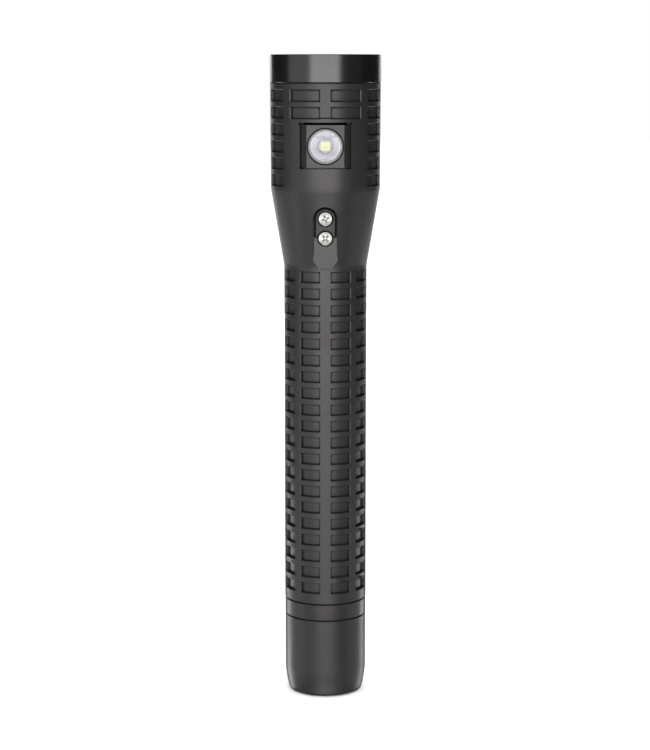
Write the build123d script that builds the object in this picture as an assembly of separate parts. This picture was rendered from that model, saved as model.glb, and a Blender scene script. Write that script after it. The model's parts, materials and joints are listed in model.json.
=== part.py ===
from build123d import *
import math
import os

# A full-size rechargeable duty flashlight: a spot beam at the head, a flood light in the head's side, two
# charging contacts below it, two push buttons on the opposite side, and a screwed tail cap with a magnet.
# Millimetres. The origin is the centre of the tail's flat end, +Z runs up the light to the bezel, and the
# flood light and the charging contacts face -Y. An azimuth is measured from -Y towards +X, in degrees.

os.makedirs("parts", exist_ok=True)

# ---- driving dimensions ----
LENGTH = 247.0
BEZEL_R = 21.35
HEAD_TOP_R = 21.0
HEAD_R = 20.8  # at the head's foot: the head has a slight draft
GRIP_R = 15.78
RING_R = 15.7
CAP_R = 15.65
GAP = 0.05  # between two pieces that sit face to face
SEAM = 0.35  # the visible line between two outer pieces

# heights along the light
CAP_TOP = 30.55
COLLAR_BOTTOM = CAP_TOP + SEAM
COLLAR_TOP = 37.0
GRIP_BOTTOM = COLLAR_TOP + 0.3
CONE_BOTTOM = 167.6
CONE_TOP = 196.9
CONE_BLEND = 12.0  # radius of the soft bends at the cone's foot and top
HEAD_TOP = 236.5
BEZEL_BOTTOM = HEAD_TOP + 0.08
NECK_TOP = 240.0
CONE_SLOPE = math.degrees(math.atan((HEAD_R - GRIP_R) / (CONE_TOP - CONE_BOTTOM)))

# hollow inside the body
BORE_R = 12.7
BAY_R = 13.2
CAVITY_R = 17.4
CARRIER_BOTTOM = 168.6
BAY_BOTTOM = 171.0
BAY_TOP = 196.0
NECK_R = 18.9

# moulded grip pockets: one row pitch along the whole light
ROW_PITCH = 6.335
EDGE_BREAK = 0.2
GRIP_ROWS = 20
GRIP_FIRST_ROW = 161.95
GRIP_POCKET_HEIGHT = 4.05
GRIP_DEPTH = 1.25
GRIP_COLUMNS = [(8, 36.8), (48.2, 76), (88, 117.5), (129, 163)]
HEAD_ROWS = 6
HEAD_FIRST_ROW = 229.75
HEAD_POCKET_HEIGHT = 4.15
HEAD_DEPTH = 1.05
HEAD_POCKET_R = (HEAD_R + HEAD_TOP_R) / 2
HEAD_SHORT_COLUMN = (6.0, 38.6)
HEAD_SHORT_ROWS = 2
HEAD_COLUMNS = [(49.2, 77), (88.5, 118), (129.5, 163)]

# flood light
FLOOD_Z = 213.2
FLOOD_FLOOR = 17.5
FLOOD_RECESS_HALF_WIDTH = 9.55
FLOOD_FRONT = 20.1
FLOOD_RECESS_BOTTOM = 204.9
FLOOD_RECESS_TOP = 221.75
POD_HALF_WIDTH = 7.0
POD_HALF_HEIGHT = 7.9
POD_STEM_HALF = 7.4
POD_GROOVE_FLOOR = 15.5
POD_BACK = 13.6
FLOOD_BORE_R = 6.9
FLOOD_BOARD_FRONT = 15.55
FLOOD_LED_HALF = 1.6

# charging contacts
SLOT_FLOOR = 15.6
SLOT_HALF_WIDTH = 4.7
SLOT_BOTTOM = 167.2
SCREW_HEAD_R = 2.75
SCREW_HEAD_HEIGHT = 1.9
SCREW_SHANK_R = 1.5
SCREW_TIP = 9.6
COUNTERBORE_R = 3.05
UPPER_SCREW_Z = 186.15
LOWER_SCREW_Z = 178.75
BLOCK_HALF_WIDTH = 3.75
BLOCK_BOTTOM = 179.3
BLOCK_GAP = 0.42
BLOCK_SEAT = 13.9
UPPER_SCREW_FRONT = 17.55
LOWER_SCREW_FRONT = 16.7

# push buttons: heights in the switch plane are measured from the cone's surface, outwards
SWITCH_Z = 183.0
BUTTON_STEP = 6.0
BUTTON_R = 4.35
BUTTON_TRAVEL = 1.0
FRAME_HALF_WIDTH = 6.2
FRAME_RECESS = 1.9
FRAME_FRONT = 0.35
WINDOW_HALF_WIDTH = 5.45

# spot beam
PARABOLA_Z = 208.0
FOCAL_LENGTH = 1.9
REFLECTOR_BOTTOM = 210.3
REFLECTOR_TOP = 241.9
LENS_R = 18.7

# battery and tail
BATTERY_BOTTOM = 32.1
BATTERY_TOP = 166.1
BATTERY_R = 9.75
CELL_R = 9.2
CELL_LENGTH = 65.0
TUBE_INNER_R = 10.2
NECK_BORE_R = 10.1
NECK_ROOT_R = 11.1
NECK_END = 44.0
COLLAR_END = 52.0
COLLAR_THREAD_R = 12.0
THREAD_HEIGHT = 0.65
THREAD_PITCH = 2.0
THREAD_START = 34.4
THREAD_TURNS = 4
SEAL_R = 11.95
SEAL_SECTION_R = 0.72


# ---- helpers ----
def disc(radius, low, high):
    """A plain round solid on the light's axis."""
    return Pos(0, 0, low) * extrude(Circle(radius), high - low)


def ring(outer, inner, low, high):
    """A plain tube on the light's axis."""
    return Pos(0, 0, low) * extrude(Circle(outer) - Circle(inner), high - low)


def turned(*lines):
    """A solid turned about the light's axis, from the outline of its section in (radius, height)."""
    return revolve(Plane.XZ * make_face(list(lines)), Axis.Z, 360)


def turned_polygon(*points):
    """The same from corner points alone."""
    return revolve(Plane.XZ * make_face(Polyline(*points, close=True)), Axis.Z, 360)


def cap_arc(rim_radius, rim_height, top_height):
    """A section's arc from a rim to the axis, as part of a sphere, so it is square to the axis there."""
    rise = top_height - rim_height
    sphere = (rim_radius**2 + rise**2) / (2 * rise)
    middle = rim_radius / 2
    drop = sphere - math.copysign(math.sqrt(sphere**2 - middle**2), sphere)
    return ThreePointArc((rim_radius, rim_height), (middle, top_height - drop), (0, top_height))


def facing(azimuth, height, distance=0.0):
    """A plane on the light's axis, looking outwards: its X runs to the right, its Y up and its Z outwards."""
    turn = math.radians(azimuth)
    outward = Vector(math.sin(turn), -math.cos(turn), 0)
    sideways = Vector(math.cos(turn), math.sin(turn), 0)
    return Plane(origin=outward * distance + Vector(0, 0, height), x_dir=sideways, z_dir=outward)


FRONT = facing(0, 0)
FLOOD = facing(0, FLOOD_Z)


def switch_plane(offset=0.0):
    """The plane of the push buttons: on the back of the cone and along its slope. Its Y runs up the cone."""
    slope = math.radians(CONE_SLOPE)
    surface = GRIP_R + (SWITCH_Z - CONE_BOTTOM) * math.tan(slope)
    outward = Vector(0, math.cos(slope), -math.sin(slope))
    plane = Plane(origin=Vector(0, surface, SWITCH_Z), x_dir=Vector(-1, 0, 0), z_dir=outward)
    return plane * Pos(0, offset, 0)


def on(plane, sketch, low, high):
    """Extrudes a sketch between two heights above a plane."""
    return plane * Pos(0, 0, low) * extrude(sketch, high - low)


def stadium(half_width, half_length):
    """An upright slot outline with round ends."""
    return SlotOverall(2 * half_length, 2 * half_width, rotation=90)


def write(shape, name):
    export_step(shape, f"parts/{name}.step")


# ---- grip pockets ----
def polar(radius, azimuth):
    turn = math.radians(azimuth)
    return (radius * math.sin(turn), -radius * math.cos(turn))


def pocket(surface, depth, tall, first, last):
    """The room of one pocket with its foot at height 0: a floor along the surface and broken edges at the mouth."""
    floor = surface - depth
    neck = surface - EDGE_BREAK
    mouth = surface + EDGE_BREAK
    flare = 2 * EDGE_BREAK
    section = Polyline(
        (floor, 0), (neck, 0), (mouth, -flare), (mouth, tall + flare), (neck, tall), (floor, tall), close=True
    )
    margin = 5
    band = revolve(Plane.XZ * make_face(section), Axis.Z, last - first + 2 * margin)
    band = Rot(0, 0, first - margin - 90) * band
    swing = math.degrees(flare / mouth)
    sides = Polyline(
        polar(floor - 1, first),
        polar(neck, first),
        polar(mouth, first - swing),
        polar(mouth * 1.1, (first + last) / 2),
        polar(mouth, last + swing),
        polar(neck, last),
        polar(floor - 1, last),
        close=True,
    )
    return band & Pos(0, 0, -1) * extrude(make_face(sides), tall + 2)


def pockets():
    """Every grip pocket's room, on the barrel and on the head, both sides of the middle rib."""
    rooms = []

    def column(edges, first_row, rows, *size):
        for first, last in (edges, (-edges[1], -edges[0])):
            room = pocket(*size, first, last)
            rooms.extend(Pos(0, 0, first_row - ROW_PITCH * row) * room for row in range(rows))

    for edges in GRIP_COLUMNS:
        column(edges, GRIP_FIRST_ROW, GRIP_ROWS, GRIP_R, GRIP_DEPTH, GRIP_POCKET_HEIGHT)
    for edges in HEAD_COLUMNS:
        column(edges, HEAD_FIRST_ROW, HEAD_ROWS, HEAD_POCKET_R, HEAD_DEPTH, HEAD_POCKET_HEIGHT)
    column(HEAD_SHORT_COLUMN, HEAD_FIRST_ROW, HEAD_SHORT_ROWS, HEAD_POCKET_R, HEAD_DEPTH, HEAD_POCKET_HEIGHT)
    return rooms


# ---- body ----
def between(width, low, high):
    """An upright rectangle between two heights."""
    return Pos(0, (low + high) / 2) * Rectangle(width, high - low)


def arched(half_width, foot):
    """An upright outline with a flat foot and a round top about the upper contact."""
    return between(2 * half_width, foot, UPPER_SCREW_Z) + Pos(0, UPPER_SCREW_Z) * Circle(half_width)


def fillet_cone_bends(section):
    """Softens the two bends where the cone meets the grip and the head."""
    bends = [v for v in section.vertices() if round(v.Y, 3) in (CONE_BOTTOM, CONE_TOP)]
    return fillet(bends, CONE_BLEND)


def body_shell():
    """Grip, cone and head in one moulding, with the neck that the bezel screws on."""
    outline = Polyline(
        (BORE_R, GRIP_BOTTOM),
        (GRIP_R - 0.3, GRIP_BOTTOM),
        (GRIP_R, GRIP_BOTTOM + 0.3),
        (GRIP_R, CONE_BOTTOM),
        (HEAD_R, CONE_TOP),
        (HEAD_TOP_R, HEAD_TOP - 0.25),
        (HEAD_TOP_R - 0.25, HEAD_TOP),
        (NECK_R, HEAD_TOP),
        (NECK_R, NECK_TOP),
        (CAVITY_R, NECK_TOP),
        (CAVITY_R, BAY_TOP),
        (BAY_R, BAY_TOP),
        (BAY_R, BAY_BOTTOM),
        (BORE_R, BAY_BOTTOM),
        close=True,
    )
    shell = revolve(Plane.XZ * fillet_cone_bends(make_face(outline)), Axis.Z, 360)
    # the flood light's recess, with a window behind it and a deep groove over and under the pod
    outside = BEZEL_R + 1
    width = 2 * FLOOD_RECESS_HALF_WIDTH
    recess = between(width, FLOOD_RECESS_BOTTOM, FLOOD_RECESS_TOP)
    window = Rectangle(2 * POD_STEM_HALF + 0.3, 2 * POD_STEM_HALF + 0.3)
    cuts = [on(FRONT, recess, FLOOD_FLOOR, outside), on(FLOOD, window, POD_BACK, outside)]
    over = between(width + 0.8, FLOOD_RECESS_TOP - 0.7, FLOOD_RECESS_TOP + 0.25)
    under = between(width, FLOOD_RECESS_BOTTOM, FLOOD_RECESS_BOTTOM + 0.45)
    cuts.append(on(FRONT, over + under, POD_GROOVE_FLOOR, outside))
    # the narrow groove that joins the feet of the two upper pockets over the flood light
    foot = HEAD_FIRST_ROW - ROW_PITCH * (HEAD_SHORT_ROWS - 1)
    cuts.append(on(FRONT, between(4.4, foot, foot + 0.42), HEAD_R - 1.6 * HEAD_DEPTH, outside))
    # the charging contacts' slot, the block's deeper seat in it, and the screw holes
    cuts.append(on(FRONT, arched(SLOT_HALF_WIDTH, SLOT_BOTTOM), SLOT_FLOOR, outside))
    seat = arched(BLOCK_HALF_WIDTH + BLOCK_GAP, BLOCK_BOTTOM - BLOCK_GAP / 2)
    cuts.append(on(FRONT, seat, BLOCK_SEAT, outside))
    for height in (UPPER_SCREW_Z, LOWER_SCREW_Z):
        cuts.append(on(facing(0, height), Circle(SCREW_SHANK_R + 0.1), 10, SLOT_FLOOR + 1))
    head_seat = LOWER_SCREW_FRONT - SCREW_HEAD_HEIGHT - GAP
    cuts.append(on(facing(0, LOWER_SCREW_Z), Circle(COUNTERBORE_R), head_seat, SLOT_FLOOR + 1))
    # the push buttons' seat and window
    seat = stadium(FRAME_HALF_WIDTH + 0.15, BUTTON_STEP + FRAME_HALF_WIDTH + 0.15)
    opening = stadium(WINDOW_HALF_WIDTH, BUTTON_STEP + WINDOW_HALF_WIDTH)
    cuts.append(on(switch_plane(), seat, -FRAME_RECESS, 4))
    cuts.append(on(switch_plane(), opening, -8, 0))
    return shell - (pockets() + cuts)


# ---- front end: bezel, lens, reflector, lamp ----
LIP_UNDERSIDE = LENGTH - 3.0
LENS_TOP = LIP_UNDERSIDE - 0.4
LENS_BOTTOM = REFLECTOR_TOP + 0.1
APERTURE_R = CAVITY_R


def bezel():
    edge = 0.2
    return turned_polygon(
        (NECK_R + 0.1, BEZEL_BOTTOM),
        (BEZEL_R - edge, BEZEL_BOTTOM),
        (BEZEL_R, BEZEL_BOTTOM + edge),
        (BEZEL_R, LENGTH - edge),
        (BEZEL_R - edge, LENGTH),
        (APERTURE_R + 1.9, LENGTH),
        (APERTURE_R, LENGTH - 2.0),
        (APERTURE_R, LIP_UNDERSIDE),
        (NECK_R + 0.1, LIP_UNDERSIDE),
    )


def parabola_radius(height):
    return math.sqrt(4 * FOCAL_LENGTH * (height - PARABOLA_Z))


def main_reflector():
    """A paraboloid cup with a flange under the lens. A quadratic Bezier is an exact piece of its parabola."""
    wall = 0.9
    flange_bottom = REFLECTOR_TOP - 1.2
    low, high = parabola_radius(REFLECTOR_BOTTOM), parabola_radius(REFLECTOR_TOP)
    # tangents at the two ends meet half way between their radii
    middle = (low + high) / 2
    start_slope = low / (2 * FOCAL_LENGTH)
    control = (middle, REFLECTOR_BOTTOM + (middle - low) * start_slope)
    outer_high = parabola_radius(flange_bottom) + wall
    outer_low = low + wall
    outer_middle = (outer_low + outer_high) / 2
    outer_control = (outer_middle, REFLECTOR_BOTTOM + (outer_middle - outer_low) * start_slope)
    return turned(
        Bezier((low, REFLECTOR_BOTTOM), control, (high, REFLECTOR_TOP)),
        Line((high, REFLECTOR_TOP), (LENS_R, REFLECTOR_TOP)),
        Line((LENS_R, REFLECTOR_TOP), (LENS_R, flange_bottom)),
        Line((LENS_R, flange_bottom), (outer_high, flange_bottom)),
        Bezier((outer_high, flange_bottom), outer_control, (outer_low, REFLECTOR_BOTTOM)),
        Line((outer_low, REFLECTOR_BOTTOM), (low, REFLECTOR_BOTTOM)),
    )


PEDESTAL_TOP = PARABOLA_Z
BOARD_TOP = PEDESTAL_TOP + GAP + 1.2
LED_TOP = BOARD_TOP + GAP + 0.65
LEAD_X = 8.2
LED_SCREW_X = 7.3


def heat_sink():
    """An aluminium slug that carries the lamp board, with bores for the leads and the board's screws."""
    slug = disc(CAVITY_R - 0.1, BAY_TOP + GAP, 205.0) + disc(9.4, 205.0, PEDESTAL_TOP)
    for side in (-1, 1):
        slug -= Pos(0, side * LEAD_X, 0) * disc(0.8, BAY_TOP, PEDESTAL_TOP + 1)
        slug -= Pos(side * LED_SCREW_X, 0, 0) * disc(0.9, 203.0, PEDESTAL_TOP + 1)
        slug -= Pos(side * 2.0, -11.8, 0) * disc(0.9, BAY_TOP, PEDESTAL_TOP + 1)
    # slots round the rim let air and leads past
    for azimuth in range(0, 360, 45):
        slug -= Rot(0, 0, azimuth + 22.5) * Pos(CAVITY_R, 0, 200.5) * Box(3.0, 3.0, 12.0)
    return slug


def led_board():
    plate = disc(9.2, PEDESTAL_TOP + GAP, BOARD_TOP)
    for side in (-1, 1):
        plate -= Pos(side * LED_SCREW_X, 0, 0) * disc(1.0, PEDESTAL_TOP, BOARD_TOP + 1)
        plate -= Pos(0, side * LEAD_X, 0) * disc(0.8, PEDESTAL_TOP, BOARD_TOP + 1)
    return plate


def led_board_screws():
    """Two small pan-head screws that hold the lamp board."""
    screws = []
    for side in (-1, 1):
        screw = disc(1.55, BOARD_TOP + GAP, BOARD_TOP + 1.2) + disc(0.8, 203.2, BOARD_TOP + GAP)
        slot = Pos(0, 0, BOARD_TOP + 1.2) * Box(0.4, 2.2, 0.8)
        screws.append(Pos(side * LED_SCREW_X, 0, 0) * (screw - slot))
    return Compound(screws)


def main_led():
    """A square ceramic package with a silicone dome."""
    base = Pos(0, 0, BOARD_TOP + GAP) * extrude(Rectangle(3.5, 3.5), 0.65)
    dome = Pos(0, 0, LED_TOP) * Sphere(1.5, arc_size1=0, align=(Align.CENTER, Align.CENTER, Align.MIN))
    return base + dome


def led_centring_ring():
    return ring(4.9, 2.65, BOARD_TOP + GAP, REFLECTOR_BOTTOM - GAP)


# ---- electronics bay ----
DRIVER_BOTTOM = 194.2
DRIVER_TOP = 195.6
WIRE_R = 0.5


def driver_components():
    """Inductor, controller, transistor and capacitors on the driver board's underside."""
    face = DRIVER_BOTTOM - GAP
    parts = [Pos(-4.0, -3.0, face - 1.5) * Box(6.0, 6.0, 3.0), Pos(4.5, -3.5, face - 0.5) * Box(4.0, 4.0, 1.0)]
    parts.append(Pos(5.5, 2.5, face - 0.55) * Box(5.0, 4.0, 1.1))
    for x in (-6.0, -3.5, -1.0):
        parts.append(Pos(x, 3.2, face - 0.6) * Box(1.3, 2.2, 1.2))
    return Compound(parts)


def wire(points, bend):
    """A round insulated lead along straight runs with rounded corners."""
    path = FilletPolyline(*points, radius=bend)
    start = Plane(origin=path @ 0, z_dir=path % 0)
    return sweep(start * Circle(WIRE_R), path=path)


def led_leads():
    return Compound([Pos(0, side * LEAD_X, 0) * disc(WIRE_R, DRIVER_TOP + 0.1, BOARD_TOP) for side in (-1, 1)])


def flood_leads():
    inner = POD_BACK - GAP
    leads = []
    for x in (-2.0, 2.0):
        leads.append(wire([(x, -inner, 210), (x, -11.8, 210), (x, -11.8, DRIVER_TOP + 0.1)], 1.2))
    return Compound(leads)


def charge_leads():
    inner = NUT_BACK - GAP
    riser, top = -8.6, DRIVER_BOTTOM - 0.1
    leads = []
    for x, height in ((2.0, UPPER_SCREW_Z), (-2.0, LOWER_SCREW_Z)):
        leads.append(wire([(x, -inner, height), (x, riser, height), (x, riser, top)], 1.0))
    return Compound(leads)


def contact_carrier():
    """An insulating plug on the step under the bay. It guides the battery's front contact."""
    top = BAY_BOTTOM + 1.0
    plug = disc(BORE_R - 0.1, CARRIER_BOTTOM, BAY_BOTTOM + GAP) + disc(BAY_R - 0.1, BAY_BOTTOM + GAP, top)
    spring_room = disc(3.5, CARRIER_BOTTOM, top - 0.8)
    return plug - spring_room - disc(1.7, CARRIER_BOTTOM, top + 1)


def front_contact():
    """A flat-headed pin that the battery's front terminal presses on."""
    head_top = BATTERY_TOP + 1.3
    return disc(3.1, BATTERY_TOP + 0.1, head_top) + disc(1.5, head_top, BAY_BOTTOM + 4.0)


def coil(radius, wire_radius, low, high, turns):
    """A helical compression spring whose wire stays between two heights."""
    height = high - low - 2 * wire_radius
    path = Pos(0, 0, low + wire_radius) * Helix(height / turns, height, radius)
    start = Plane(origin=path @ 0, z_dir=path % 0)
    return sweep(start * Circle(wire_radius), path=path, is_frenet=True)


# ---- flood light ----
def flood_pod():
    """The flood light's raised housing: a face with sloping sides, a stem through the wall and a stepped bore."""
    base = FLOOD_RECESS_HALF_WIDTH - 0.15
    face = Polyline(
        (-base, -FLOOD_FLOOR - GAP),
        (-POD_HALF_WIDTH, -FLOOD_FRONT),
        (POD_HALF_WIDTH, -FLOOD_FRONT),
        (base, -FLOOD_FLOOR - GAP),
        close=True,
    )
    pod = Pos(0, 0, FLOOD_Z - POD_HALF_HEIGHT) * extrude(make_face(face), 2 * POD_HALF_HEIGHT)
    pod += on(FLOOD, Rectangle(2 * POD_STEM_HALF, 2 * POD_STEM_HALF), POD_BACK, FLOOD_FLOOR + GAP)
    pod -= on(FLOOD, Circle(FLOOD_BORE_R), POD_BACK + 0.6, FLOOD_FRONT + 1)
    for x in (-2.0, 2.0):
        pod -= FLOOD * Pos(x, 210 - FLOOD_Z, POD_BACK - 1) * extrude(Circle(0.6), 2)
    return pod


def turned_on_flood(*points):
    """A solid turned about the flood light's axis, from corners in (radius, distance from the light's axis)."""
    outline = make_face(Polyline(*points, close=True))
    return FLOOD * revolve(Plane.XZ * outline, Axis.Z, 360)


RING_FRONT = FLOOD_FRONT + 0.4


def flood_ring():
    """The metal ring that holds the flood lens: a raised rim, a step, and an inner lip."""
    outer, step, inner, seat = 6.5, 6.08, 5.55, 6.0
    return turned_on_flood(
        (outer, 18.0),
        (outer, RING_FRONT - 0.15),
        (outer - 0.15, RING_FRONT),
        (step + 0.1, RING_FRONT),
        (step, RING_FRONT - 0.3),
        (inner + 0.2, RING_FRONT - 0.3),
        (inner, RING_FRONT - 0.55),
        (inner, RING_FRONT - 0.75),
        (seat, RING_FRONT - 0.75),
        (seat, 18.0),
    )


def flood_lens():
    """A clear disc with a low dome, seated under the ring's lip."""
    back, edge_front, seat = 18.35, RING_FRONT - 0.8, 5.95
    return FLOOD * revolve(
        Plane.XZ
        * make_face(
            [
                Line((0, back), (seat, back)),
                Line((seat, back), (seat, edge_front)),
                Line((seat, edge_front), (5.5, edge_front)),
                cap_arc(5.5, edge_front, edge_front + 0.4),
                Line((0, edge_front + 0.4), (0, back)),
            ]
        ),
        Axis.Z,
        360,
    )


def flood_reflector():
    """A shallow conical cup whose mouth at the back just clears the emitter's corners."""
    back, front, outer = FLOOD_BOARD_FRONT + GAP, 18.3, 5.9
    return turned_on_flood((FLOOD_LED_HALF * 1.5, back), (outer, back), (outer, front), (outer - 0.6, front))


def flood_board():
    return on(FLOOD, Circle(FLOOD_BORE_R - 0.2), POD_BACK + 0.65, FLOOD_BOARD_FRONT)


def flood_led():
    return on(FLOOD, Rectangle(2 * FLOOD_LED_HALF, 2 * FLOOD_LED_HALF), FLOOD_BOARD_FRONT + GAP, 16.2)


def flood_seal():
    """The black O-ring in the gap between the flood ring and its bore."""
    return FLOOD * Pos(0, 0, 19.5) * Torus((6.5 + FLOOD_BORE_R) / 2, 0.17)


# ---- charging contacts ----
NUT_FRONT = 12.75
NUT_BACK = 10.6


def contact_block():
    """The insulating island round the upper contact, with a face that slopes with the cone."""
    block = on(FRONT, arched(BLOCK_HALF_WIDTH, BLOCK_BOTTOM), BLOCK_SEAT + GAP, HEAD_R)
    top_front, bottom_front = 18.0, 16.25
    top = UPPER_SCREW_Z + BLOCK_HALF_WIDTH
    behind = -10
    room = Polyline(
        (behind, BLOCK_BOTTOM - 1),
        (-bottom_front, BLOCK_BOTTOM - 1),
        (-top_front, top + 1),
        (behind, top + 1),
        close=True,
    )
    block &= Plane.YZ * extrude(make_face(room), 2 * BLOCK_HALF_WIDTH, both=True)
    front = [f for f in block.faces() if f.normal_at().Y < -0.9 and f.center().Y < -SLOT_FLOOR - 0.5]
    block = chamfer(front[0].edges(), 0.28)
    head_seat = UPPER_SCREW_FRONT - SCREW_HEAD_HEIGHT - GAP
    block -= on(facing(0, UPPER_SCREW_Z), Circle(COUNTERBORE_R), head_seat, HEAD_R)
    block -= on(facing(0, UPPER_SCREW_Z), Circle(SCREW_SHANK_R + 0.1), BLOCK_SEAT - 1, HEAD_R)
    block -= on(facing(0, LOWER_SCREW_Z), Circle(COUNTERBORE_R + 0.1), BLOCK_SEAT - 1, HEAD_R)
    return block


def charge_screw(height, front, turn):
    """A pan-head machine screw with a cross recess. Its head is a charging contact."""
    back = front - SCREW_HEAD_HEIGHT
    side = back + 1.15
    crown_r, crown = SCREW_HEAD_R - 0.45, side + 0.43
    head = turned(
        Line((0, back), (SCREW_HEAD_R, back)),
        Line((SCREW_HEAD_R, back), (SCREW_HEAD_R, side)),
        ThreePointArc((SCREW_HEAD_R, side), (SCREW_HEAD_R - 0.15, side + 0.3), (crown_r, crown)),
        cap_arc(crown_r, crown, front),
        Line((0, front), (0, back)),
    )
    screw = head + disc(SCREW_SHANK_R - 0.1, SCREW_TIP, back + 0.1)
    arm_length, arm_width, recess_depth = 3.3, 0.8, 1.5
    arms = Rectangle(arm_length, arm_width) + Rectangle(arm_width, arm_length)
    recess = Pos(0, 0, front - recess_depth) * Rot(0, 0, turn) * extrude(arms, recess_depth + 0.1)
    taper = Pos(0, 0, front - recess_depth / 2) * Cone(0.35, arm_length / 2, recess_depth + 0.1)
    return facing(0, height) * (screw - (recess & taper))


def charge_nuts():
    nuts = []
    for height in (UPPER_SCREW_Z, LOWER_SCREW_Z):
        outline = Rectangle(4.9, 4.9) - Circle(SCREW_SHANK_R - 0.05)
        nuts.append(on(facing(0, height), outline, NUT_BACK, NUT_FRONT))
    return Compound(nuts)


# ---- push buttons ----
def switch_frame():
    """The stadium-shaped frame that holds both rubber buttons."""
    outline = stadium(FRAME_HALF_WIDTH, BUTTON_STEP + FRAME_HALF_WIDTH)
    holes = Pos(0, BUTTON_STEP) * Circle(BUTTON_R + 0.2) + Pos(0, -BUTTON_STEP) * Circle(BUTTON_R + 0.2)
    plate = extrude(outline, FRAME_FRONT + FRAME_RECESS - GAP)
    plate = chamfer(plate.faces().sort_by(Axis.Z)[-1].edges(), 0.35)
    plate -= extrude(holes, 5)
    rims = plate.faces().sort_by(Axis.Z)[-1].inner_wires()
    plate = chamfer([e for w in rims for e in w.edges()], 0.25)
    return switch_plane() * Pos(0, 0, GAP - FRAME_RECESS) * plate


def button(side):
    """A rubber button: a domed cap, a flange held under the frame and a stem over its switch."""
    flange_top = -FRAME_RECESS - 0.1
    cap_rim, cap_top = 0.6, 1.0
    section = make_face(
        [
            Line((0, -3.5), (1.2, -3.5)),
            Line((1.2, -3.5), (1.2, -3.0)),
            Line((1.2, -3.0), (5.2, -3.0)),
            Line((5.2, -3.0), (5.2, flange_top)),
            Line((5.2, flange_top), (BUTTON_R, flange_top)),
            Line((BUTTON_R, flange_top), (BUTTON_R, cap_rim)),
            ThreePointArc((BUTTON_R, cap_rim), (BUTTON_R - 0.3, cap_top - 0.1), (BUTTON_R - 1.0, cap_top)),
            cap_arc(BUTTON_R - 1.0, cap_top, cap_top - 0.4),
            Line((0, cap_top - 0.4), (0, -3.5)),
        ]
    )
    return switch_plane(side * BUTTON_STEP) * revolve(Plane.XZ * section, Axis.Z, 360)


def tactile_switch(side):
    """A square board-mounted switch with a round plunger."""
    plane = switch_plane(side * BUTTON_STEP)
    return on(plane, Rectangle(6.0, 6.0), -8.3, -5.0) + on(plane, Circle(1.6), -5.0, -4.65)


# ---- battery ----
def battery_pieces():
    """A stick of two cells in one sleeve: cells, link, insulator, terminals and sleeve."""
    rear = BATTERY_BOTTOM + 1.5
    front = rear + CELL_LENGTH + 0.6
    cells_top = front + CELL_LENGTH + GAP
    terminal_r = 3.0
    cell = fillet(disc(CELL_R, 0, CELL_LENGTH).edges(), 0.8)
    return {
        "battery_sleeve": ring(BATTERY_R, CELL_R + GAP, BATTERY_BOTTOM + 0.5, BATTERY_TOP - 1.1),
        "rear_cell": Pos(0, 0, rear) * cell,
        "front_cell": Pos(0, 0, front) * cell,
        "cell_link": disc(5.0, rear + CELL_LENGTH + GAP, front - GAP),
        "battery_negative": disc(8.0, BATTERY_BOTTOM, rear - GAP),
        "battery_positive": disc(terminal_r, cells_top, BATTERY_TOP),
        "battery_insulator": ring(CELL_R, terminal_r + 0.1, cells_top, BATTERY_TOP - 1.2),
    }


# ---- tail ----
def thread(radius, crest, start, turns):
    """A helical ridge that rises from a root radius to a crest radius, outwards or inwards."""
    inward = crest < radius
    root = radius + (0.1 if inward else -0.1)
    path = Pos(0, 0, start) * Helix(THREAD_PITCH, THREAD_PITCH * turns, radius)
    foot, flat = 0.55, 0.2
    ridge = Polyline(
        (root, start - foot), (root, start + foot), (crest, start + flat), (crest, start - flat), close=True
    )
    return sweep(Plane.XZ * make_face(ridge), path=path, is_frenet=True)


def tail_collar():
    """The threaded insert at the body's foot. Its flange is the narrow ring above the tail cap."""
    shank_r = BORE_R - GAP
    collar = turned_polygon(
        (SEAL_R + SEAL_SECTION_R + 0.08, COLLAR_BOTTOM),
        (RING_R - 0.2, COLLAR_BOTTOM),
        (RING_R, COLLAR_BOTTOM + 0.2),
        (RING_R, COLLAR_TOP - 0.2),
        (RING_R - 0.2, COLLAR_TOP),
        (shank_r, COLLAR_TOP),
        (shank_r, COLLAR_END),
        (COLLAR_THREAD_R - 0.7, COLLAR_END),
        (COLLAR_THREAD_R - 0.7, NECK_END + 2.0),
        (COLLAR_THREAD_R, NECK_END + 1.2),
        (COLLAR_THREAD_R, COLLAR_BOTTOM + 1.8),
        (SEAL_R + SEAL_SECTION_R + 0.08, COLLAR_BOTTOM + 1.8),
    )
    ridge = thread(COLLAR_THREAD_R, COLLAR_THREAD_R - THREAD_HEIGHT, THREAD_START, THREAD_TURNS)
    return collar + Rot(0, 0, 180) * ridge


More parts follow.
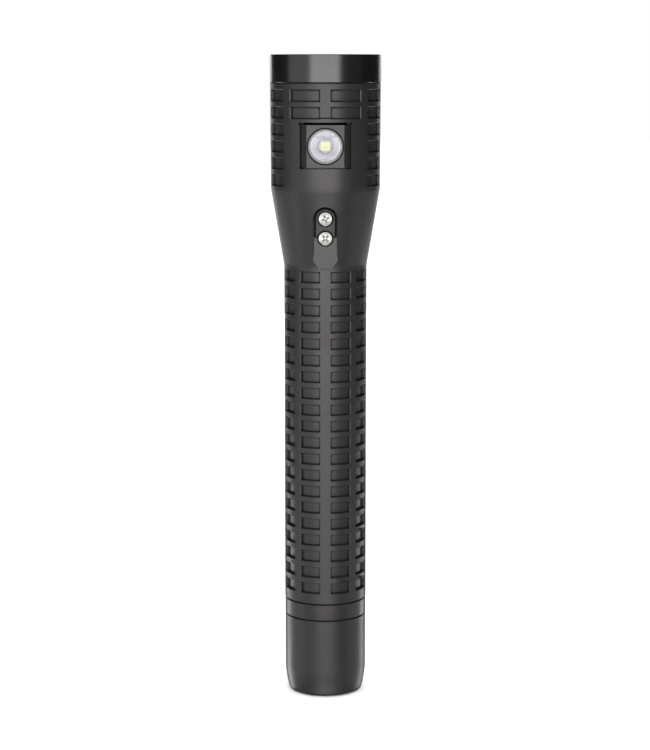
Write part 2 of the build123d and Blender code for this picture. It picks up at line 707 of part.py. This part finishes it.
def tail_cap():
    """The cap: a rounded tail, a threaded neck, a spring bore, and a magnet pocket under its floor."""
    foot_r, shoulder_r, shoulder = 12.6, 14.5, 1.7
    curve_top = 9.5
    outline = [
        Line((0, 7.5), (0, 6.1)),
        Line((0, 6.1), (9.5, 6.1)),
        Line((9.5, 6.1), (9.5, 1.7)),
        Line((9.5, 1.7), (10.2, 1.7)),
        Line((10.2, 1.7), (10.2, 0)),
        Line((10.2, 0), (foot_r, 0)),
        ThreePointArc((foot_r, 0), (13.8, 0.55), (shoulder_r, shoulder)),
        ThreePointArc((shoulder_r, shoulder), (15.24, 5.4), (CAP_R, curve_top)),
        Line((CAP_R, curve_top), (CAP_R, CAP_TOP - 0.2)),
        Line((CAP_R, CAP_TOP - 0.2), (CAP_R - 0.2, CAP_TOP)),
        Line((CAP_R - 0.2, CAP_TOP), (NECK_ROOT_R, CAP_TOP)),
        Line((NECK_ROOT_R, CAP_TOP), (NECK_ROOT_R, NECK_END - 0.3)),
        Line((NECK_ROOT_R, NECK_END - 0.3), (NECK_ROOT_R - 0.3, NECK_END)),
        Line((NECK_ROOT_R - 0.3, NECK_END), (NECK_BORE_R, NECK_END)),
        Line((NECK_BORE_R, NECK_END), (NECK_BORE_R, 7.5)),
        Line((NECK_BORE_R, 7.5), (0, 7.5)),
    ]
    return turned(*outline) + thread(NECK_ROOT_R, NECK_ROOT_R + THREAD_HEIGHT, THREAD_START, THREAD_TURNS)


def tail_pad():
    """The thin cover that closes the magnet pocket, with one shallow turned groove."""
    pad = disc(10.1, 0.35, 1.6)
    return pad - ring(7.6, 7.2, 0.0, 0.6)


def tail_contact():
    return disc(9.9, 7.5 + GAP, 8.5) - disc(1.5, 7, 9)


# ---- everything ----
def main():
    write(body_shell(), "body_shell")
    write(bezel(), "bezel")
    write(ring(NECK_R - 0.1, CAVITY_R + 0.1, NECK_TOP + GAP, REFLECTOR_TOP - 1.2 - GAP), "head_seal")
    write(main_reflector(), "main_reflector")
    write(disc(LENS_R, LENS_BOTTOM, LENS_TOP), "front_lens")
    write(ring(LENS_R, APERTURE_R + 0.2, LENS_TOP + GAP, LIP_UNDERSIDE - GAP), "lens_gasket")
    write(heat_sink(), "heat_sink")
    write(led_board(), "led_board")
    write(led_board_screws(), "led_board_screws")
    write(main_led(), "main_led")
    write(led_centring_ring(), "led_centring_ring")

    write(disc(12.8, DRIVER_BOTTOM, DRIVER_TOP), "driver_board")
    write(driver_components(), "driver_components")
    write(led_leads(), "led_leads")
    write(flood_leads(), "flood_leads")
    write(charge_leads(), "charge_leads")
    write(contact_carrier(), "contact_carrier")
    write(front_contact(), "front_contact")
    write(coil(2.6, 0.25, BATTERY_TOP + 1.35, BAY_BOTTOM + 0.15, 4), "front_spring")

    write(flood_pod(), "flood_pod")
    write(flood_ring(), "flood_ring")
    write(flood_seal(), "flood_seal")
    write(flood_lens(), "flood_lens")
    write(flood_reflector(), "flood_reflector")
    write(flood_board(), "flood_board")
    write(flood_led(), "flood_led")

    write(contact_block(), "contact_block")
    write(charge_screw(UPPER_SCREW_Z, UPPER_SCREW_FRONT, 20), "charge_screw_upper")
    write(charge_screw(LOWER_SCREW_Z, LOWER_SCREW_FRONT, 45), "charge_screw_lower")
    write(charge_nuts(), "charge_nuts")

    write(switch_frame(), "switch_frame")
    write(button(1), "flood_button")
    write(button(-1), "main_button")
    write(tactile_switch(1), "flood_switch")
    write(tactile_switch(-1), "main_switch")
    write(on(switch_plane(), Rectangle(10.0, 18.4), -9.6, -8.4), "switch_board")

    for name, shape in battery_pieces().items():
        write(shape, name)
    write(ring(BORE_R - 0.1, TUBE_INNER_R, COLLAR_END + 0.3, CARRIER_BOTTOM - 0.2), "inner_tube")

    write(tail_collar(), "tail_collar")
    write(tail_cap(), "tail_cap")
    write(Pos(0, 0, COLLAR_BOTTOM + 0.9) * Torus(SEAL_R, SEAL_SECTION_R), "tail_seal")
    write(coil(7.0, 0.55, 8.55, BATTERY_BOTTOM - 0.1, 7), "tail_spring")
    write(tail_contact(), "tail_contact")
    write(disc(9.4, 1.75, 6.0), "tail_magnet")
    write(tail_pad(), "tail_pad")


main()
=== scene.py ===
import json
import math

import bpy
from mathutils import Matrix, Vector


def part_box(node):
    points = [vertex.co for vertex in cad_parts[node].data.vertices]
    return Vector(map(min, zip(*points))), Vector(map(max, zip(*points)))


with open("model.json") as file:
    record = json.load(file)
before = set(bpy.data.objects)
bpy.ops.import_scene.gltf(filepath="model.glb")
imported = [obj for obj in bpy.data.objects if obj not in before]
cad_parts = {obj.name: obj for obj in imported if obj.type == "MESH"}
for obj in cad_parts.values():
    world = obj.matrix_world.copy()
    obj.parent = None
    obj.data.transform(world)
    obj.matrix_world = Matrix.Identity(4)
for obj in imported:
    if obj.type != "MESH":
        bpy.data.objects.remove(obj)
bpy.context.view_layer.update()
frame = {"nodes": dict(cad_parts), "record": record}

MM = 0.001

# The studio, in metres: the soft boxes stand on a ring round the light and aim at the middle of its height.
RING_RADIUS = 1.2
MIDDLE_HEIGHT = 0.12
PANEL_TINT = (1.0, 0.965, 0.98)
FLOOR_REACH = 6.0
FLOOR_LIGHT_STRENGTH = 4.2
FLOOR_LIGHT_SPREAD = 80

# The camera, in metres and degrees.
CAMERA_PLACE = (-0.00015, -0.7672, 0.2424)
CAMERA_TIP = 8.731
SENSOR_MM = 36.0
LENS_MM = 96.32

# The colour sockets of a Mix node, which share their names with its number and vector sockets.
MIX_FIRST = 6
MIX_SECOND = 7
MIX_RESULT = 2


# ---- shader helpers ----
def shader(name):
    """A new node material. Returns it with its tree and its Principled shader."""
    material = bpy.data.materials.new(name)
    material.use_nodes = True
    tree = material.node_tree
    return material, tree, tree.nodes["Principled BSDF"]


def feed(tree, node, inputs):
    """Sets a node's inputs. Each is a number, a colour or another node's output."""
    for key, value in inputs.items():
        if isinstance(value, bpy.types.NodeSocket):
            tree.links.new(value, node.inputs[key])
        else:
            node.inputs[key].default_value = value


def add(tree, kind, inputs=None, **settings):
    """Adds a shader node with its settings and its inputs."""
    node = tree.nodes.new("ShaderNode" + kind)
    for key, value in settings.items():
        setattr(node, key, value)
    feed(tree, node, inputs or {})
    return node


def place(tree, stretch=(1, 1, 1)):
    """Positions on the object in metres, stretched for grain that runs one way."""
    coordinates = add(tree, "TexCoord")
    return add(tree, "Mapping", {"Vector": coordinates.outputs["Object"], "Scale": stretch}).outputs["Vector"]


def noise(tree, size_mm, detail=3.0, stretch=(1, 1, 1)):
    """Noise whose blotches are about the given size."""
    inputs = {"Vector": place(tree, stretch), "Scale": 1 / (size_mm * MM), "Detail": detail}
    return add(tree, "TexNoise", inputs).outputs["Fac"]


def spread(tree, value, low, high, from_low=0.3, from_high=0.7):
    """Maps a pattern to a range of values. Noise seldom leaves the middle of its own range."""
    inputs = {"Value": value, "From Min": from_low, "From Max": from_high, "To Min": low, "To Max": high}
    return add(tree, "MapRange", inputs).outputs["Result"]


def vary(tree, pattern, value, less, more):
    """A number that a pattern lowers and raises a little."""
    return spread(tree, pattern, value - less, value + more)


def blend(tree, factor, first, second):
    """Mixes two colours by a pattern."""
    colours = [c if isinstance(c, bpy.types.NodeSocket) else (*c, 1) for c in (first, second)]
    inputs = {"Factor": factor, MIX_FIRST: colours[0], MIX_SECOND: colours[1]}
    return add(tree, "Mix", inputs, data_type="RGBA").outputs[MIX_RESULT]


def scaled(colour, factor):
    return [c * factor for c in colour]


def shades(tree, pattern, colour, darkest, lightest=1.0):
    """A colour that a pattern makes darker and lighter, between two shares of it."""
    return blend(tree, pattern, scaled(colour, darkest), scaled(colour, lightest))


def bump(tree, height, depth_mm, strength=1.0, under=None):
    """Normals of a relief of the given depth, on top of other normals if they are given."""
    inputs = {"Height": height, "Distance": depth_mm * MM, "Strength": strength}
    if under is not None:
        inputs["Normal"] = under
    return add(tree, "Bump", inputs).outputs["Normal"]


def rounded(tree, radius_mm):
    """Normals that round every sharp edge by a small radius."""
    return add(tree, "Bevel", {"Radius": radius_mm * MM}, samples=6).outputs["Normal"]


def edge_mask(tree, radius_mm, sharpness):
    """Near 1 along edges, 0 on flat stretches."""
    flat = add(tree, "NewGeometry").outputs["Normal"]
    alike = add(tree, "VectorMath", {0: flat, 1: rounded(tree, radius_mm)}, operation="DOT_PRODUCT")
    return spread(tree, alike.outputs["Value"], 1.0, 0.0, 1 - sharpness, 1.0)


def shelter(tree, reach_mm, hidden=0.45, open_sky=0.9):
    """1 on open faces, falling to 0 in grooves and inside corners, by ambient occlusion: a mask for painted
    shade.
    """
    sky = add(tree, "AmbientOcclusion", {"Distance": reach_mm * MM}, samples=8).outputs["AO"]
    return spread(tree, sky, 0.0, 1.0, hidden, open_sky)


def grey(value, warm=0.0):
    """A grey, or one with more red and less blue in it."""
    return (value * (1 + warm), value, value * (1 - warm * 0.5))


# ---- polymers and rubber ----
def moulded(name, colour, roughness, specular=0.5, grain_mm=0.012):
    """Moulded black nylon: faint mottling, an eroded-steel grain, and painted shade that darkens grooves and
    inside corners.
    """
    material, tree, surface = shader(name)
    mottle = shades(tree, noise(tree, 9.0, detail=4.0), colour, 0.88, 1.12)
    # Painted shade: ambient occlusion blackens the colour in grooves and inside corners, and roughens them
    # too.
    painted_crevice_shade = shelter(tree, reach_mm=0.8)
    handled = vary(tree, noise(tree, 22.0, detail=5.0), roughness, 0.04, 0.04)
    feed(tree, surface, {
        "Base Color": blend(tree, painted_crevice_shade, grey(0), mottle),
        "Roughness": spread(tree, painted_crevice_shade, 1.0, handled, 0.0, 1.0),
        "Normal": bump(tree, noise(tree, 0.3, detail=4.0), grain_mm, 0.8, rounded(tree, 0.07)),
        "Specular IOR Level": specular,
    })
    return material


def rubber(name, colour, roughness):
    """Black rubber with a fine powdery grain."""
    material, tree, surface = shader(name)
    feed(tree, surface, {
        "Base Color": shades(tree, noise(tree, 3.0, detail=6.0), colour, 1.0, 1.5),
        "Roughness": vary(tree, noise(tree, 5.0), roughness, 0.06, 0.06),
        "Normal": bump(tree, noise(tree, 0.2), 0.01, 0.7, rounded(tree, 0.15)),
        "Specular IOR Level": 0.35,
    })
    return material


def plain_plastic(name, colour, roughness, coat=0.0):
    """A small moulded part or a wrapper, with slight tone changes and orange peel."""
    material, tree, surface = shader(name)
    feed(tree, surface, {
        "Base Color": shades(tree, noise(tree, 4.0, detail=4.0), colour, 0.9),
        "Roughness": vary(tree, noise(tree, 2.0), roughness, 0.06, 0.06),
        "Normal": bump(tree, noise(tree, 0.6), 0.008, 0.5),
        "Coat Weight": coat,
    })
    return material


def circuit_board(name, mask, copper, track_mm=1.6):
    """Solder mask over copper: tracks show as slightly raised, lighter lines."""
    material, tree, surface = shader(name)
    inputs = {"Vector": place(tree), "Scale": 1 / (track_mm * MM)}
    cells = add(tree, "TexVoronoi", inputs, distance="CHEBYCHEV", feature="F1")
    tracks = spread(tree, cells.outputs["Distance"], 0.0, 1.0, 0.45, 0.5)
    feed(tree, surface, {
        "Base Color": blend(tree, tracks, mask, copper),
        "Normal": bump(tree, tracks, 0.03, 0.8),
        "Roughness": spread(tree, noise(tree, 3.0), 0.25, 0.4),
    })
    return material


# ---- metals ----
def tool_lines(tree, size_mm, detail):
    """The rings that a lathe leaves round the light's axis."""
    return noise(tree, size_mm, detail, (0.02, 0.02, 1))


def turned_metal(name, colour, roughness, anisotropy=0.35):
    """Metal turned on a lathe: rings of fine tool lines, and faint smears."""
    material, tree, surface = shader(name)
    smears = noise(tree, 14.0, 4.0, (1, 1, 0.5))
    tangent = add(tree, "Tangent", direction_type="RADIAL", axis="Z")
    feed(tree, surface, {
        "Base Color": shades(tree, smears, colour, 0.85),
        "Roughness": vary(tree, smears, roughness, 0.04, 0.06),
        "Normal": bump(tree, tool_lines(tree, 0.22, 5.0), 0.004, 0.6, rounded(tree, 0.2)),
        "Tangent": tangent.outputs["Tangent"],
        "Anisotropic": anisotropy,
        "Metallic": 1.0,
    })
    return material


def anodised(name, colour, roughness, coat, line_mm=0.003):
    """Black anodised aluminium: a dark dyed skin with a clear glossy face and fine turned lines."""
    material, tree, surface = shader(name)
    smears = noise(tree, 12.0, 5.0)
    # Edges are painted lighter: a painted highlight along them, together with wear of the dark dye.
    edge_wear_and_highlight = edge_mask(tree, radius_mm=0.3, sharpness=0.3)
    skin = shades(tree, smears, colour, 0.8, 1.2)
    worn_and_highlit_colour = [c * 2.2 + 0.01 for c in colour]
    feed(tree, surface, {
        "Base Color": blend(tree, edge_wear_and_highlight, skin, worn_and_highlit_colour),
        "Roughness": vary(tree, smears, roughness, 0.03, 0.05),
        "Normal": bump(tree, tool_lines(tree, 0.25, 4.0), line_mm, 0.5, rounded(tree, 0.12)),
        "Specular IOR Level": 0.5,
        "Coat Weight": coat,
        "Coat Roughness": 0.2,
    })
    return material


def plated(name, colour, roughness):
    """Bright nickel plate with small scratches and dulled patches."""
    material, tree, surface = shader(name)
    patches = noise(tree, 2.5, 5.0)
    scratches = noise(tree, 0.35, 6.0, (1, 1, 0.15))
    feed(tree, surface, {
        "Base Color": shades(tree, patches, colour, 0.86),
        "Roughness": vary(tree, patches, roughness, 0.05, 0.1),
        "Normal": bump(tree, scratches, 0.006, 0.4, rounded(tree, 0.12)),
        "Metallic": 1.0,
    })
    return material


def mirror_coat(name, colour, roughness):
    """Vapour-deposited metal on plastic, with a trace of orange peel."""
    material, tree, surface = shader(name)
    haze = noise(tree, 6.0, 4.0)
    feed(tree, surface, {
        "Base Color": shades(tree, haze, colour, 0.93),
        "Roughness": spread(tree, haze, roughness * 0.8, roughness * 1.3),
        "Normal": bump(tree, noise(tree, 1.8, 2.0), 0.01, 0.25),
        "Metallic": 1.0,
    })
    return material


# ---- clear pieces and lamps ----
def clear(name, tint, ior):
    """A clear lens with a faint film of dust."""
    material, tree, surface = shader(name)
    feed(tree, surface, {
        "Base Color": shades(tree, noise(tree, 7.0, 5.0), tint, 0.97),
        "Roughness": spread(tree, noise(tree, 4.0, 6.0), 0.0, 0.03),
        "Transmission Weight": 1.0,
        "IOR": ior,
    })
    return material


def square(tree, half_mm, centre, axes, border=0.06):
    """1 inside a square of the given half width, 0 outside. axes are the two that its sides lie along."""
    parts = add(tree, "SeparateXYZ", {"Vector": place(tree)})
    reach = []
    for axis in axes:
        inputs = {0: parts.outputs[axis], 1: centre["XYZ".index(axis)]}
        offset = add(tree, "Math", inputs, operation="SUBTRACT").outputs[0]
        reach.append(add(tree, "Math", {0: offset}, operation="ABSOLUTE").outputs[0])
    widest = add(tree, "Math", {0: reach[0], 1: reach[1]}, operation="MAXIMUM").outputs[0]
    return spread(tree, widest, 1.0, 0.0, half_mm * MM * (1 - border), half_mm * MM)


def phosphor(name, phosphor_colour, ceramic_colour, half_mm, centre, axes):
    """An emitter package: a square of yellow phosphor on pale ceramic, both with a faint painted glow."""
    material, tree, surface = shader(name)
    inside = square(tree, half_mm, centre, axes)
    speckle = noise(tree, 0.3, 3.0)
    face = blend(tree, inside, ceramic_colour, shades(tree, speckle, phosphor_colour, 0.9))
    feed(tree, surface, {
        "Base Color": face,
        "Emission Color": face,
        # Painted glow: the package lights itself a little, more on the phosphor than on the ceramic.
        "Emission Strength": spread(tree, inside, 0.05, 0.25, 0.0, 1.0),
        "Roughness": spread(tree, speckle, 0.35, 0.5),
    })
    return material


# ---- which piece has which finish ----
def middle(node):
    """The centre of a CAD node's box."""
    low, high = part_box(node)
    return (low + high) / 2


def materials():
    """One finish for each of the record's material slots."""
    shell = {"colour": grey(0.035, warm=0.05), "roughness": 0.38, "specular": 0.6}
    yellow, ceramic = (0.97, 1.0, 0.55), (0.86, 0.87, 0.85)
    return {
        "body_polymer": moulded("body_polymer", **shell),
        "cap_polymer": moulded("cap_polymer", **shell, grain_mm=0.006),
        "frame_polymer": moulded("frame_polymer", grey(0.03), roughness=0.5),
        "pod_polymer": moulded("pod_polymer", **shell, grain_mm=0.008),
        "button_rubber": rubber("button_rubber", grey(0.03), roughness=0.55),
        "black_rubber": rubber("black_rubber", grey(0.015), roughness=0.65),
        "collar_metal": anodised("collar_metal", grey(0.035, warm=0.06), roughness=0.36, coat=0.15),
        "bezel_metal": anodised("bezel_metal", grey(0.01), roughness=0.24, coat=0.8, line_mm=0.0004),
        "bare_aluminium": turned_metal("bare_aluminium", grey(0.74), roughness=0.32),
        "ring_metal": turned_metal("ring_metal", grey(0.3), roughness=0.36, anisotropy=0.0),
        "magnet": turned_metal("magnet", grey(0.5), roughness=0.25),
        "nickel": plated("nickel", (0.55, 0.565, 0.53), roughness=0.34),
        "cell_can": plated("cell_can", grey(0.7), roughness=0.3),
        "reflector_coat": mirror_coat("reflector_coat", grey(0.93), roughness=0.06),
        "clear_glass": clear("clear_glass", grey(0.98), ior=1.5),
        "white_board": circuit_board("white_board", mask=grey(0.5), copper=grey(0.44)),
        "green_board": circuit_board("green_board", mask=(0.02, 0.12, 0.05), copper=(0.05, 0.2, 0.08)),
        "led_ceramic": phosphor("led_ceramic", yellow, ceramic, 1.3, middle("main_led"), "XY"),
        "white_plastic": plain_plastic("white_plastic", grey(0.8), roughness=0.45),
        "component_black": plain_plastic("component_black", grey(0.04), roughness=0.4),
        "wire_jacket": plain_plastic("wire_jacket", (0.5, 0.04, 0.03), roughness=0.5),
        "cell_wrap": plain_plastic("cell_wrap", (0.03, 0.06, 0.16), roughness=0.3, coat=0.5),
    }


def flood_light():
    """Finishes of the flood light's lamp and cup, whose slots they share with the larger main lamp."""
    yellow, ceramic = (0.66, 0.7, 0.3), (0.6, 0.61, 0.64)
    return {
        "flood_led": phosphor("flood_phosphor", yellow, ceramic, 1.6, middle("flood_led"), "XZ"),
        "flood_reflector": mirror_coat("flood_coat", (0.52, 0.535, 0.58), roughness=0.3),
    }


def dress():
    """Gives every CAD node its slot's finish, and then the flood light its own."""
    finishes = materials()
    for entry in frame["record"]["subparts"]:
        mesh = frame["nodes"][entry["node"]].data
        mesh.materials.clear()
        mesh.materials.append(finishes[entry["material_slot"]])
    for node, finish in flood_light().items():
        frame["nodes"][node].data.materials[0] = finish


# ---- stage, lights and camera ----
def panel(name, azimuth, height, width, tall, power, distance=RING_RADIUS, aim_height=MIDDLE_HEIGHT):
    """A soft box. Its azimuth runs from -Y towards +X. In degrees, metres and watts."""
    data = bpy.data.lights.new(name, "AREA")
    data.shape = "RECTANGLE"
    data.size = width
    data.size_y = tall
    data.energy = power
    data.color = PANEL_TINT
    lamp = bpy.data.objects.new(name, data)
    turn = math.radians(azimuth)
    lamp.location = (distance * math.sin(turn), -distance * math.cos(turn), height)
    aim = Vector((0, 0, aim_height)) - lamp.location
    lamp.rotation_euler = aim.to_track_quat("-Z", "Y").to_euler()
    lamp.visible_camera = False
    bpy.context.scene.collection.objects.link(lamp)


def lights():
    """Soft boxes in front, dimmer ones at the sides and above, and low ones behind that edge the light."""
    panel("front", azimuth=-1, height=0.12, width=0.6, tall=0.5, power=3.4)
    panel("front_left", azimuth=-23, height=0.12, width=0.34, tall=0.5, power=2.05)
    panel("front_right", azimuth=21, height=0.12, width=0.34, tall=0.5, power=2.1)
    panel("front_low", azimuth=0, height=-0.42, width=0.9, tall=0.5, power=1.2)
    panel("front_high", azimuth=0, height=0.62, width=0.9, tall=0.4, power=1.9)
    panel("under", azimuth=0, height=-0.9, width=0.9, tall=0.6, power=3.4, distance=0.7, aim_height=0.1)
    panel("left_soft", azimuth=-56, height=0.08, width=1.05, tall=0.7, power=1.9)
    panel("right_soft", azimuth=55, height=0.08, width=1.05, tall=0.7, power=0.2)
    panel("left_low", azimuth=-88, height=-0.42, width=1.0, tall=0.5, power=1.3)
    panel("right_low", azimuth=88, height=-0.42, width=1.0, tall=0.5, power=1.1)
    panel("left_rim", azimuth=-130, height=-0.42, width=0.5, tall=0.5, power=3.0)
    panel("right_rim", azimuth=130, height=-0.42, width=0.5, tall=0.5, power=2.4)
    panel("left_edge", azimuth=-152, height=0.12, width=0.4, tall=0.5, power=1.0)
    panel("right_edge", azimuth=152, height=0.12, width=0.4, tall=0.5, power=0.7)
    panel("back", azimuth=180, height=0.3, width=0.6, tall=0.4, power=3.1)
    panel("above", azimuth=0, height=1.25, width=0.8, tall=0.8, power=1.1, distance=0.1, aim_height=0.2)


def floor_paint():
    """Matt off-white paint, a little uneven."""
    material, tree, surface = shader("floor_paint")
    feed(tree, surface, {
        "Base Color": blend(tree, noise(tree, 400.0), grey(0.9), grey(0.94)),
        "Roughness": 0.9,
        "Specular IOR Level": 0.0,
    })
    return material


def floor():
    """A wide pale floor, which throws no light and no shadow on the object."""
    mesh = bpy.data.meshes.new("floor")
    corners = [(x * FLOOR_REACH, y * FLOOR_REACH, 0) for x, y in ((-1, -1), (1, -1), (1, 1), (-1, 1))]
    mesh.from_pydata(corners, [], [(0, 1, 2, 3)])
    mesh.materials.append(floor_paint())
    ground = bpy.data.objects.new("floor", mesh)
    ground.visible_diffuse = False
    ground.visible_glossy = False
    ground.visible_shadow = False
    bpy.context.scene.collection.objects.link(ground)
    return ground


def floor_light(ground):
    """A wide soft sun that lights the floor alone, so that the object still leaves a soft shadow there."""
    data = bpy.data.lights.new("floor_light", "SUN")
    data.energy = FLOOR_LIGHT_STRENGTH
    data.angle = math.radians(FLOOR_LIGHT_SPREAD)
    sun = bpy.data.objects.new("floor_light", data)
    bpy.context.scene.collection.objects.link(sun)
    receivers = bpy.data.collections.new("floor_light_receivers")
    receivers.objects.link(ground)
    sun.light_linking.receiver_collection = receivers


def surroundings():
    """White where the camera sees past the floor, and a dim room for everything else."""
    world = bpy.data.worlds.new("studio")
    world.use_nodes = True
    tree = world.node_tree
    seen = add(tree, "LightPath").outputs["Is Camera Ray"]
    room = add(tree, "Background", {"Color": (0.9, 0.95, 1.0, 1), "Strength": 0.02}).outputs[0]
    white = add(tree, "Background", {"Color": (1, 1, 1, 1), "Strength": 1.0}).outputs[0]
    mix = add(tree, "MixShader", {0: seen, 1: room, 2: white})
    tree.links.new(mix.outputs[0], tree.nodes["World Output"].inputs["Surface"])
    bpy.context.scene.world = world
    bpy.context.scene.view_settings.view_transform = "Standard"


def camera():
    """In front of the flood light, level with the bezel, and tipped down a little."""
    data = bpy.data.cameras.new("camera")
    data.sensor_width = SENSOR_MM
    data.lens = LENS_MM
    eye = bpy.data.objects.new("camera", data)
    eye.location = CAMERA_PLACE
    eye.rotation_euler = (math.radians(90 - CAMERA_TIP), 0, 0)
    bpy.context.scene.collection.objects.link(eye)
    bpy.context.scene.camera = eye


dress()
surroundings()
floor_light(floor())
lights()
camera()
